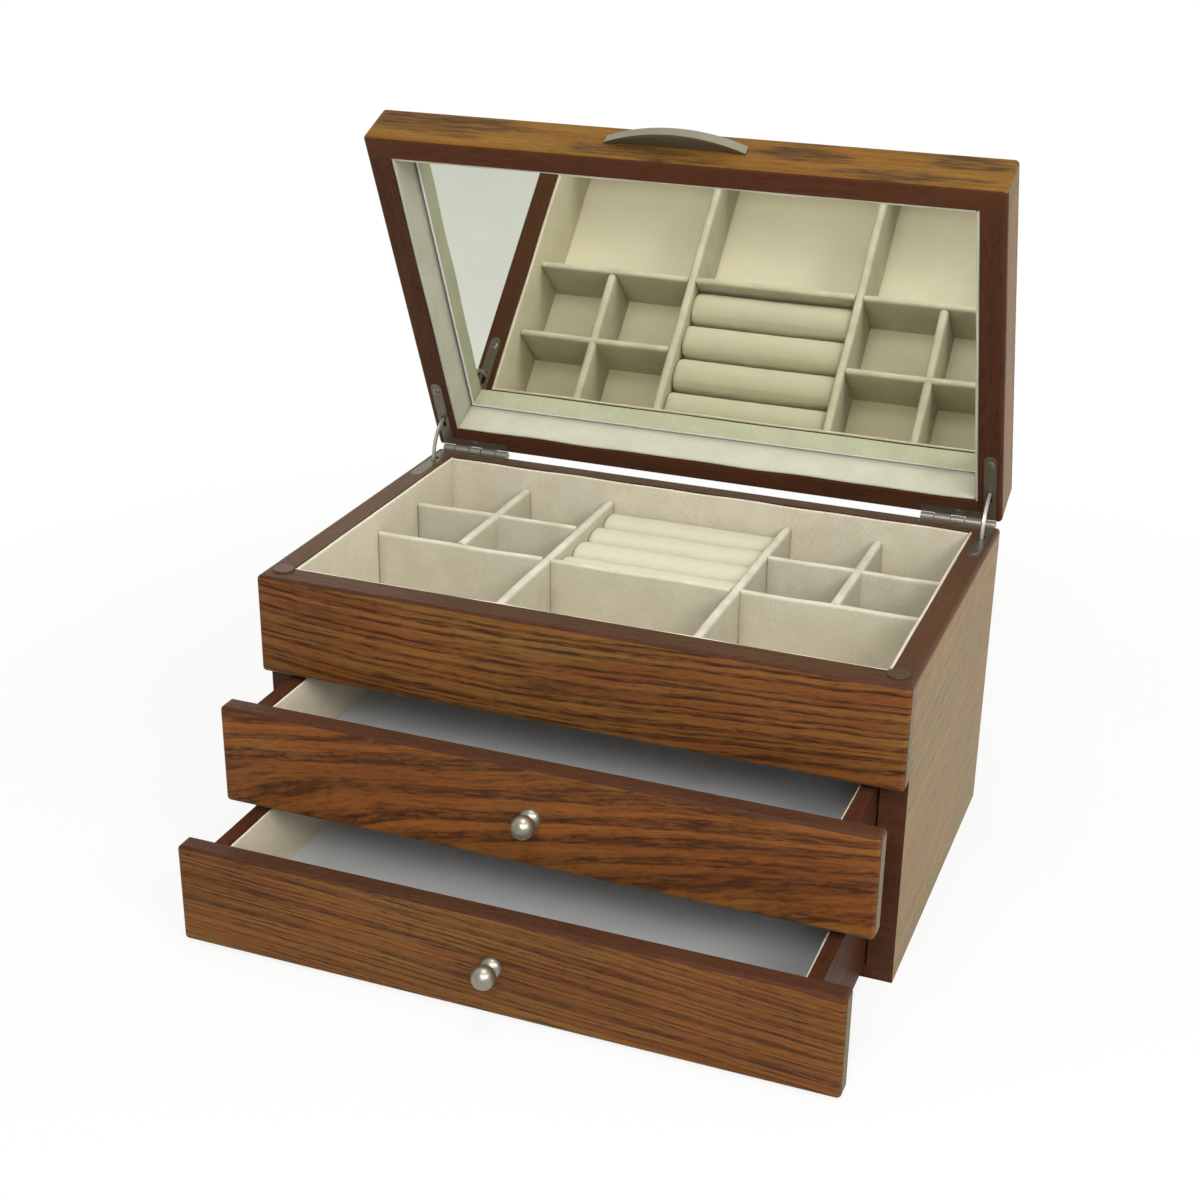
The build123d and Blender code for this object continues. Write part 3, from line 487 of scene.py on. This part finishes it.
def addPiece(name, shells, materials, sharpAngle):
    # one object from closed shells, each its points, its sets of faces and the material's number of each set
    faces, numbers, count = [], [], 0
    for points, faceSets, number in shells:
        for corners, used in zip(faceSets, np.broadcast_to(number, len(faceSets)).tolist()):
            faces += (corners + count).tolist()
            numbers += [used] * len(corners)
        count += len(points)
    mesh = bpy.data.meshes.new(name)
    mesh.from_pydata(np.concatenate([shell[0] for shell in shells]).tolist(), [], faces)
    mesh.polygons.foreach_set("material_index", numbers)
    mesh.polygons.foreach_set("use_smooth", [True] * len(faces))
    for material in materials:
        mesh.materials.append(material)
    outward = bmesh.new()
    outward.from_mesh(mesh)
    bmesh.ops.recalc_face_normals(outward, faces=outward.faces)
    outward.to_mesh(mesh)
    outward.free()
    mesh.set_sharp_from_angle(angle=math.radians(sharpAngle))
    piece = bpy.data.objects.new(name, mesh)
    scene.collection.objects.link(piece)
    return piece


def settle(piece, body, slot, *replaced):
    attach(piece, body)
    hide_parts(*replaced)


def carried(profiles):
    # skin over closed profiles, an array of stations by points round by 3, with a flat face at each end
    stations, around = profiles.shape[:2]
    corner = np.arange(stations * around).reshape(stations, around)
    turned = np.roll(corner, -1, axis=1)
    quads = np.stack([corner[:-1], turned[:-1], turned[1:], corner[1:]], axis=-1).reshape(-1, 4)
    return profiles.reshape(-1, 3), [quads, corner[:1, ::-1], corner[-1:]]


# Soft boards: card wrapped in velveteen. The profile is a rectangle with rounded top corners, carried
# along the board. The board bows by slow sine waves, most at its free top edge, and thins at its ends.
softBoards = {"step": 0.005, "fewest": 4, "bow": 0.00016, "sag": 0.00012, "waves": (1 / 0.083, 1 / 0.047),
              "phaseSteps": (1.7, 2.9), "lesserWave": 0.5, "endRound": 0.0006, "endThin": 0.72,
              "cornerSteps": 5, "waistShare": 0.6}


def softBoard(low, high, axis, roundness, phase, gap=0.0):
    low, high = np.array(low, dtype=float), np.array(high, dtype=float)
    other = 1 - axis
    half, height = (high[other] - low[other]) / 2, high[2] - low[2]
    radius = roundness * half
    waist = softBoards["waistShare"] * (height - radius)
    angle = np.linspace(0, math.pi / 2, softBoards["cornerSteps"])
    across = np.concatenate([[half, half], half - radius + radius * np.cos(angle),
                             radius - half - radius * np.sin(angle), [-half, -half]])
    up = np.concatenate([[0, waist], height - radius + radius * np.sin(angle),
                         height - radius + radius * np.cos(angle), [waist, 0]])
    start, end = low[axis] + gap, high[axis] - gap
    count = max(softBoards["fewest"], int((end - start) / softBoards["step"]))
    along = np.linspace(start, end, count)
    along = np.concatenate([[start], [start + softBoards["endRound"]], along[1:-1],
                            [end - softBoards["endRound"]], [end]])
    thin = np.ones(len(along))
    thin[[0, -1]] = softBoards["endThin"]
    first, second = (np.sin(2 * math.pi * wave * along + phase * step)
                     for step, wave in zip(softBoards["phaseSteps"], softBoards["waves"]))
    lesser = softBoards["lesserWave"]
    free = (up / height) ** 2
    profiles = np.zeros((len(along), len(across), 3))
    profiles[:, :, axis] = along[:, None]
    profiles[:, :, other] = ((low[other] + high[other]) / 2 + thin[:, None] * across
                             + softBoards["bow"] * (first + lesser * second)[:, None] * free)
    profiles[:, :, 2] = low[2] + up + softBoards["sag"] * (second + lesser * first)[:, None] * free
    return carried(profiles)


# Soft floors: the same card laid flat. Its top rises and dips in slow waves along and across.
softFloors = {"columns": 40, "rows": 24, "swell": 0.00018, "waves": (1 / 0.061, 1 / 0.043)}


def softFloor(low, high):
    across = np.linspace(low[0], high[0], softFloors["columns"])
    along = np.linspace(low[1], high[1], softFloors["rows"])
    waveX, waveY = softFloors["waves"]
    lift = np.sin(2 * math.pi * waveX * across)[None] * np.cos(2 * math.pi * waveY * along)[:, None]
    profiles = np.zeros((len(along), len(across) + 2, 3))
    profiles[:, 1:-1, 0] = across
    profiles[:, 1:-1, 2] = high[2] + softFloors["swell"] * (lift - 1)
    profiles[:, 0] = (low[0], 0, low[2])
    profiles[:, -1] = (high[0], 0, low[2])
    profiles[:, :, 1] = along[:, None]
    return carried(profiles)


linings = {"wall": 0.0018, "drawer": 0.0012, "trayLift": 0.0005, "roundness": 0.95,
           "phases": (0.3, 1.1, 2.3, 3.7)}


def wallBoards(low, high, thick, lift=0.0):
    # four boards round the inside of a box, with the front and back ones between the others
    innerLeft, innerRight = low[0] + thick, high[0] - thick
    spans = [
        ((low[0], low[1]), (innerLeft, high[1]), 1),
        ((innerRight, low[1]), (high[0], high[1]), 1),
        ((innerLeft, low[1]), (innerRight, low[1] + thick), 0),
        ((innerLeft, high[1] - thick), (innerRight, high[1]), 0),
    ]
    return [softBoard((*near, low[2]), (*far, high[2] + lift), axis, linings["roundness"], phase)
            for (near, far, axis), phase in zip(spans, linings["phases"])]


def addCloth(name, shells, *shades):
    return addPiece(name, shells, [velveteen[shade] for shade in shades], sharpAngles["cloth"])


dividerForms = {"longWider": 0.0004, "crossWider": -0.0001, "endGap": 0.00025, "roundness": 0.8}
dividers = sorted(name for name in nodes if name.endswith("_divider"))
for index, name in enumerate(dividers):
    low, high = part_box(name)
    axis = 0 if high[0] - low[0] > high[1] - low[1] else 1
    wider = Vector((0, 0, 0))
    wider[1 - axis] = dividerForms["longWider" if axis else "crossWider"]
    board = softBoard(low - wider, high + wider, axis, dividerForms["roundness"], index,
                      dividerForms["endGap"])
    settle(addCloth(name + "_cloth", [(*board, 0)], "divider"), "case", "cream_lining", name)

low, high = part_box("tray_wall_lining")
shells = [(*board, 0) for board in wallBoards(low, high, linings["wall"], linings["trayLift"])]
settle(addCloth("tray_wall_cloth", shells, "lining"), "case", "cream_lining", "tray_wall_lining")
low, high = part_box("tray_floor_lining")
shells = [(*softFloor(low, high), 0)]
settle(addCloth("tray_floor_cloth", shells, "floor"), "case", "cream_lining", "tray_floor_lining")
for drawer in ("upper_drawer", "lower_drawer"):
    low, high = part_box(drawer + "_lining")
    floorHigh = Vector((high[0], high[1], low[2] + linings["drawer"]))
    shells = [(*board, 0) for board in wallBoards(low, high, linings["drawer"])]
    shells.append((*softFloor(low, floorHigh), 1))
    settle(addCloth(drawer + "_cloth", shells, "drawerWall", "drawerFloorShade"),
           drawer, "cream_lining", drawer + "_lining")


def pointsOf(mesh):
    flat = np.empty(len(mesh.vertices) * 3)
    mesh.vertices.foreach_get("co", flat)
    return flat.reshape(-1, 3)


# The lid's pieces are made as for a closed lid, upside down, and turned open with it
turnOpen, pin = np.array(openTurn), np.array(pinPlace)
flip = np.array((1, 1, -1))


def shutBox(name):
    shut = ((pointsOf(nodes[name].data) - pin) @ turnOpen + pin) * flip
    return shut.min(axis=0), shut.max(axis=0)


def openedPoints(points):
    return (points * flip - pin) @ turnOpen.T + pin


low, high = shutBox("lid_lining")
left, *others = [(openedPoints(points), faces) for points, faces in wallBoards(low, high, linings["wall"])]
# the left board takes the darker copy of the cloth, painted shade
shells = [(*left, 1)] + [(*board, 0) for board in others]
settle(addCloth("lid_cloth", shells, "lid", "lidLeftShade"), "lid", "cream_lining", "lid_lining")
print("linings:", len(dividers), "dividers, tray, drawers and lid wrapped")

# Ring rolls: foam in velvet, blown up by the cloth solver from a slightly smaller bolster. The bolster's
# profile is half a superellipse on short upright walls, carried along the roll from end to end. Creases are
# the product of two slanted sine waves, deepest on top.
rollPad = {"voxel": 0.0022, "inset": 0.0006, "power": 2.2, "wall": 0.72, "foot": 0.94, "around": 25,
           "stations": 30, "pressure": 3.0, "frames": 20, "cap": 0.0009, "crease": 0.00016,
           "creaseLengths": (0.031, 0.013), "creaseSlants": (9, -14), "creaseClimb": 20, "smooth": 1,
           "fill": 0.85}


def bolster(low, high):
    inset = rollPad["inset"]
    half = (high[1] - low[1]) / 2 - inset
    height = high[2] - low[2] - inset
    angle = np.linspace(0, math.pi, rollPad["around"])
    cosine, sine = np.cos(angle), np.sin(angle)
    across = half * np.sign(cosine) * np.abs(cosine) ** (2 / rollPad["power"])
    up = height * (rollPad["wall"] + (1 - rollPad["wall"]) * np.abs(sine) ** (2 / rollPad["power"]))
    across = np.concatenate([[half * rollPad["foot"]], across, [-half * rollPad["foot"]]])
    up = np.concatenate([[0], up, [0]])
    along = np.linspace(low[0], high[0], rollPad["stations"])
    profiles = np.zeros((len(along), len(across), 3))
    profiles[:, :, 0] = along[:, None]
    profiles[:, :, 1] = (low[1] + high[1]) / 2 + across
    profiles[:, :, 2] = low[2] + up
    return carried(profiles)


def meshFrom(piece):
    # the piece as its modifiers leave it, as a new mesh
    graph = bpy.context.evaluated_depsgraph_get()
    return bpy.data.meshes.new_from_object(piece.evaluated_get(graph))


def creases(x, y, z):
    firstLength, secondLength = rollPad["creaseLengths"]
    firstSlant, secondSlant = rollPad["creaseSlants"]
    first = np.sin(2 * math.pi * (x / firstLength + firstSlant * y))
    second = np.sin(2 * math.pi * (x / secondLength + secondSlant * y + rollPad["creaseClimb"] * z))
    return rollPad["crease"] * first * second


def blownUp(piece, low, high):
    # remesh, blow up with the cloth solver, hold every point within the cap, then press in small creases
    remesh = piece.modifiers.new("remesh", "REMESH")
    remesh.mode = "VOXEL"
    remesh.voxel_size = rollPad["voxel"]
    piece.data = meshFrom(piece)
    piece.modifiers.clear()
    before = pointsOf(piece.data)
    held = piece.vertex_groups.new(name="held")
    fromEnd = np.minimum(before[:, 0] - low[0], high[0] - before[:, 0])
    glued = (before[:, 2] < low[2] + rollPad["voxel"]) | (fromEnd < rollPad["voxel"] / 2)
    held.add(np.flatnonzero(glued).tolist(), 1.0, "REPLACE")
    cloth = piece.modifiers.new("cloth", "CLOTH")
    cloth.settings.vertex_group_mass = "held"
    cloth.settings.use_pressure = True
    cloth.settings.uniform_pressure_force = rollPad["pressure"]
    cloth.settings.effector_weights.gravity = 0
    for moment in range(1, rollPad["frames"] + 1):
        scene.frame_set(moment)
    after = pointsOf(meshFrom(piece))
    piece.modifiers.clear()
    scene.frame_set(1)
    move = after - before
    size = np.linalg.norm(move, axis=1, keepdims=True)
    points = before + move * np.minimum(1, rollPad["cap"] / np.maximum(size, 1e-9))
    x, y, z = points.T
    points[:, 2] += creases(x, y, z) * (z - low[2]) / (high[2] - low[2])
    piece.data.vertices.foreach_set("co", np.clip(points, np.array(low), np.array(high)).ravel())
    piece.data.polygons.foreach_set("use_smooth", [True] * len(piece.data.polygons))
    piece.data.update()


rolls = sorted(name for name in nodes if name.startswith("ring_roll"))
for name in rolls:
    low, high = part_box(name)
    points, faces = bolster(low, high)
    roll = addPiece(name + "_pad", [(points, faces, 0)], [velveteen["roll"]], sharpAngles["roll"])
    blownUp(roll, low, high)
    smooth = roll.modifiers.new("smooth", "SUBSURF")
    smooth.levels = smooth.render_levels = rollPad["smooth"]
    settle(roll, "case", "ring_roll_velvet", name)
print("ring rolls:", len(rolls), "blown up")

# Mirror: a plate with a rounded polished edge. Rectangles shrink round the edge by round (1 - cos a)
# while they drop by round (1 - sin a), for a from 0 at the side to a quarter turn at the face.
mirrorPlate = {"round": 0.0022, "steps": 9}
mirrorSilver = {"pale": tint("#e9ecdd"), "deep": tint("#e0e4d5"), "haze": ((60.0, 60.0, 60.0), 4.0, 0.6),
                "hazeSpan": (0.4, 0.75), "rough": (0.012, 0.03), "glow": tint("#c4c2ba"),
                "glowStrength": 1.15}
# a painted highlight: near white, for the glint along the mirror's edge
edgeGlint = {"pale": tint("#f6fbfb"), "deep": tint("#dfe9ea"), "haze": ((240.0, 240.0, 240.0), 3.0, 0.6),
                "hazeSpan": (0.3, 0.7), "rough": (0.1, 0.2), "metallic": 0.15, "ior": 1.5}


def mirrorShells(low, high):
    angle = np.linspace(0, math.pi / 2, mirrorPlate["steps"])
    inset = np.concatenate([[0], mirrorPlate["round"] * (1 - np.cos(angle))])
    level = np.concatenate([[low[2]], high[2] - mirrorPlate["round"] * (1 - np.sin(angle))])
    signX, signY = np.array((-1, 1, 1, -1)), np.array((-1, -1, 1, 1))
    centre, half = (low + high) / 2, (high - low) / 2
    rings = np.zeros((len(inset), 4, 3))
    rings[:, :, 0] = centre[0] + signX * (half[0] - inset[:, None])
    rings[:, :, 1] = centre[1] + signY * (half[1] - inset[:, None])
    rings[:, :, 2] = level[:, None]
    return carried(rings)


def mirrorFinish(silver):
    # to diffuse rays the mirror glows, because it passes light on to the tray and the lining
    material, tree, shader = newMaterial("mirrorSilver")
    material.cycles.emission_sampling = "NONE"
    haze = stretched(tree, objectPlace(tree), *silver["haze"])
    diffuse = addNode(tree, "LightPath").outputs["Is Diffuse Ray"]
    feed(tree, shader.inputs, {
        "Base Color": mixTint(tree, haze, silver["pale"], silver["deep"]), "Metallic": 1.0,
        "Roughness": spread(tree, haze, *silver["hazeSpan"], *silver["rough"]),
        "Emission Color": mixTint(tree, diffuse, (0, 0, 0, 1), silver["glow"]),
        "Emission Strength": silver["glowStrength"]})
    return material


def edgeGlintFinish(glass):
    # painted highlight: the mirror's rounded edge is near white, standing for the glint on its glass
    material, tree, shader = newMaterial("edgeGlint")
    haze = stretched(tree, objectPlace(tree), *glass["haze"])
    feed(tree, shader.inputs, {
        "Base Color": mixTint(tree, haze, glass["pale"], glass["deep"]), "Metallic": glass["metallic"],
        "Roughness": spread(tree, haze, *glass["hazeSpan"], *glass["rough"]), "IOR": glass["ior"]})
    return material


low, high = shutBox("mirror")
points, faces = mirrorShells(low, high)
plate = [(openedPoints(points), faces, (1, 1, 0))]    # the last set is the silvered face
plateFinishes = [mirrorFinish(mirrorSilver), edgeGlintFinish(edgeGlint)]
mirror = addPiece("mirror_plate", plate, plateFinishes, sharpAngles["glass"])
settle(mirror, "lid", "mirror_glass", "mirror")

# Nickel, brushed along the width, and clear pads
nickel = {"pale": tint("#aba898"), "deep": tint("#9c9888"), "metallic": 0.9, "rough": (0.32, 0.42),
          "brush": ((60.0, 2200.0, 2200.0), 3.0, 0.6), "brushSpan": (0.25, 0.75),
          "cloud": ((160.0, 160.0, 160.0), 3.0), "bump": 0.06, "depth": 0.0002}
handleNickel = dict(
    nickel, pale=tint("#938e7b"), deep=tint("#85806d"), rough=(0.34, 0.46),
    # under is a painted shade for the handle's underside
    under=tint("#7d7661"), underFace=lidUnderFace, underSpan=(0.6, 0.8))
# the hinge's pale and deep are darkened as a painted reflection of the dark wood; barrel is a painted
# highlight
hingeNickel = dict(
    nickel, pale=tint("#756d60"), deep=tint("#665e52"), metallic=0.65, rough=(0.28, 0.38),
    barrel=tint("#a49d90"), barrelReach=(0.0021, 0.00231))
strapNickel = dict(nickel, pale=tint("#c9c5b8"), deep=tint("#bab5a7"), metallic=0.7)
screwNickel = dict(nickel, pale=tint("#9b948a"), deep=tint("#8b847a"))
pinNickel = dict(nickel, pale=tint("#3b3632"), deep=tint("#2c2824"))
clearPad = {"pale": tint("#5c4029"), "deep": tint("#4d3522"), "cloud": ((500.0, 500.0, 500.0), 2.0),
            "cloudSpan": (0.3, 0.7), "rough": (0.3, 0.42), "transmission": 0.25, "ior": 1.4}


def nickelFinish(name, metal):
    material, tree, shader = newMaterial(name)
    place = objectPlace(tree)
    brushed = stretched(tree, place, *metal["brush"])
    bump = addNode(tree, "Bump", {"Height": brushed, "Strength": metal["bump"], "Distance": metal["depth"]})
    colour = mixTint(tree, stretched(tree, place, *metal["cloud"]), metal["pale"], metal["deep"])
    if "barrel" in metal:     # painted highlight on the knuckles round the pin, and the wings darker for the dark wood they reflect
        fromPin = vectorWork(tree, "MULTIPLY", vectorWork(tree, "SUBTRACT", place, pinPlace), (0, 1, 1))
        wing = spread(tree, vectorWork(tree, "LENGTH", fromPin), *metal["barrelReach"])
        colour = mixTint(tree, wing, metal["barrel"], colour)
    if "under" in metal:      # painted shade: faces toward the lid's underside are darker, the shade under the handle
        below = spread(tree, facing(tree, metal["underFace"]), *metal["underSpan"])
        colour = mixTint(tree, below, colour, metal["under"])
    feed(tree, shader.inputs, {
        "Base Color": colour, "Metallic": metal["metallic"],
        "Roughness": spread(tree, brushed, *metal["brushSpan"], *metal["rough"]), "Normal": bump.outputs[0]})
    return material


def padFinish(pad):
    material, tree, shader = newMaterial("clearPad")
    cloud = stretched(tree, objectPlace(tree), *pad["cloud"])
    feed(tree, shader.inputs, {
        "Base Color": mixTint(tree, cloud, pad["pale"], pad["deep"]),
        "Roughness": spread(tree, cloud, *pad["cloudSpan"], *pad["rough"]),
        "Transmission Weight": pad["transmission"], "IOR": pad["ior"]})
    return material


dress(nickelFinish("knobNickel", nickel),
      "upper_drawer_knob", "lower_drawer_knob", "upper_drawer_knob_screw", "lower_drawer_knob_screw")
dress(nickelFinish("handleNickel", handleNickel), "lid_handle", "handle_screws")
dress(nickelFinish("hingeNickel", hingeNickel), *[name for name in nodes if name.endswith("hinge_leaf")])
dress(nickelFinish("pinNickel", pinNickel), "left_hinge_pin", "right_hinge_pin")
dress(nickelFinish("strapNickel", strapNickel), "left_stay", "right_stay")
dress(nickelFinish("screwNickel", screwNickel), "case_hinge_screws", "lid_hinge_screws")
dress(padFinish(clearPad), "rim_bumpers")
print("glass and metal dressed")

# Camera, as the picture was taken: place in metres, angles in degrees
view = {"place": (0.2857, -0.79455, 0.4930), "azimuth": 21.08, "elevation": 23.68, "roll": 0.67,
        "lens": 57.76, "sensor": 36.0, "nearest": 0.01}


def setCamera(view):
    azimuth, elevation, roll = (math.radians(view[key]) for key in ("azimuth", "elevation", "roll"))
    back = Vector((math.sin(azimuth) * math.cos(elevation), -math.cos(azimuth) * math.cos(elevation),
                   math.sin(elevation)))
    right = Vector((0, 0, 1)).cross(back).normalized()
    up = back.cross(right)
    rolledRight = math.cos(roll) * right + math.sin(roll) * up
    rolledUp = math.cos(roll) * up - math.sin(roll) * right
    camera = bpy.data.objects.new("camera", bpy.data.cameras.new("camera"))
    camera.data.lens = view["lens"]
    camera.data.sensor_width = view["sensor"]
    camera.data.sensor_fit = "HORIZONTAL"
    camera.data.clip_start = view["nearest"]
    turn = Matrix((rolledRight, rolledUp, back)).transposed()
    camera.matrix_world = Matrix.Translation(view["place"]) @ turn.to_4x4()
    scene.collection.objects.link(camera)
    scene.camera = camera


setCamera(view)

# Studio: a pale floor that fades to white away from the box, an even sky and four soft lamps. What metal,
# glass and lacquer show of the room is dimmer behind the camera.
studio = {
    "sky": 0.46, "frontShade": 0.45, "skyShade": (-0.5, 0.5), "floorShade": (-0.5, 0.22),
    "floorTint": tint("#e6e4df"), "floorRough": 0.9, "floorWhite": 0.84, "fade": (0.28, 0.6),
    "floorReach": 12.0, "floorLevel": -0.0002,
    "lamps": [      # name, place, aim, size and power
        ("topLamp", (0.1, -0.12, 1.6), (0, 0, 0.1), 0.8, 7.8),
        ("frontLamp", (0.2, -1.32, 1.16), (0, 0, 0.08), 0.5, 8.0),
        ("cameraLamp", (0.56, -1.56, 0.86), (0, 0, 0.08), 0.6, 5.8),
        ("rightLamp", (1.2, -0.9, 1.1), (0, 0, 0.1), 0.7, 12.8),
    ],
}


def seenRays(tree):
    # rays from the camera, and rays by which metal, glass and lacquer show what is around them
    rays = addNode(tree, "LightPath").outputs
    return rays["Is Camera Ray"], work(tree, "MAXIMUM", rays["Is Glossy Ray"], rays["Is Transmission Ray"])


def roomShade(tree, place, span):
    # from dim at the front to full at the back
    toBack = addNode(tree, "SeparateXYZ", {0: place}).outputs[1]
    return spread(tree, toBack, *span, studio["frontShade"], 1.0)


def setSky():
    scene.world = bpy.data.worlds.new("sky")
    scene.world.use_nodes = True
    tree = scene.world.node_tree
    direct, shown = seenRays(tree)
    shade = roomShade(tree, addNode(tree, "TexCoord").outputs["Generated"], studio["skyShade"])
    level = mixValue(tree, direct, mixValue(tree, shown, studio["sky"], shade), 1.0)
    feed(tree, tree.nodes["Background"].inputs, {"Color": (1, 1, 1, 1), "Strength": level})


def setFloor():
    reach, level = studio["floorReach"], studio["floorLevel"]
    corners = [(-reach, -reach, level), (reach, -reach, level), (reach, reach, level), (-reach, reach, level)]
    mesh = bpy.data.meshes.new("floor")
    mesh.from_pydata(corners, [], [(0, 1, 2, 3)])
    floor = bpy.data.objects.new("floor", mesh)
    scene.collection.objects.link(floor)
    material, tree, shader = newMaterial("paleFloor")
    place = objectPlace(tree)
    whiteness = spread(tree, vectorWork(tree, "LENGTH", place), *studio["fade"], studio["floorWhite"], 1.0)
    direct, shown = seenRays(tree)
    share = work(tree, "MULTIPLY", whiteness, work(tree, "MAXIMUM", direct, shown))
    feed(tree, shader.inputs, {"Base Color": studio["floorTint"], "Roughness": studio["floorRough"],
                               "Specular IOR Level": 0.0})
    shade = roomShade(tree, place, studio["floorShade"])
    glow = addNode(tree, "Emission", {"Color": (1, 1, 1, 1), "Strength": mixValue(tree, direct, shade, 1.0)})
    mixed = addNode(tree, "MixShader", {0: share, 1: shader.outputs[0], 2: glow.outputs[0]})
    tree.links.new(mixed.outputs[0], tree.nodes["Material Output"].inputs["Surface"])
    mesh.materials.append(material)


def setLamps():
    for name, place, aim, size, power in studio["lamps"]:
        lamp = bpy.data.objects.new(name, bpy.data.lights.new(name, "AREA"))
        lamp.data.shape = "DISK"
        lamp.data.size = size
        lamp.data.energy = power
        lamp.location = place
        lamp.rotation_euler = (Vector(place) - Vector(aim)).to_track_quat("Z", "Y").to_euler()
        scene.collection.objects.link(lamp)


setSky()
setFloor()
setLamps()
scene.view_settings.view_transform = "Standard"
print("camera, floor and lamps set")
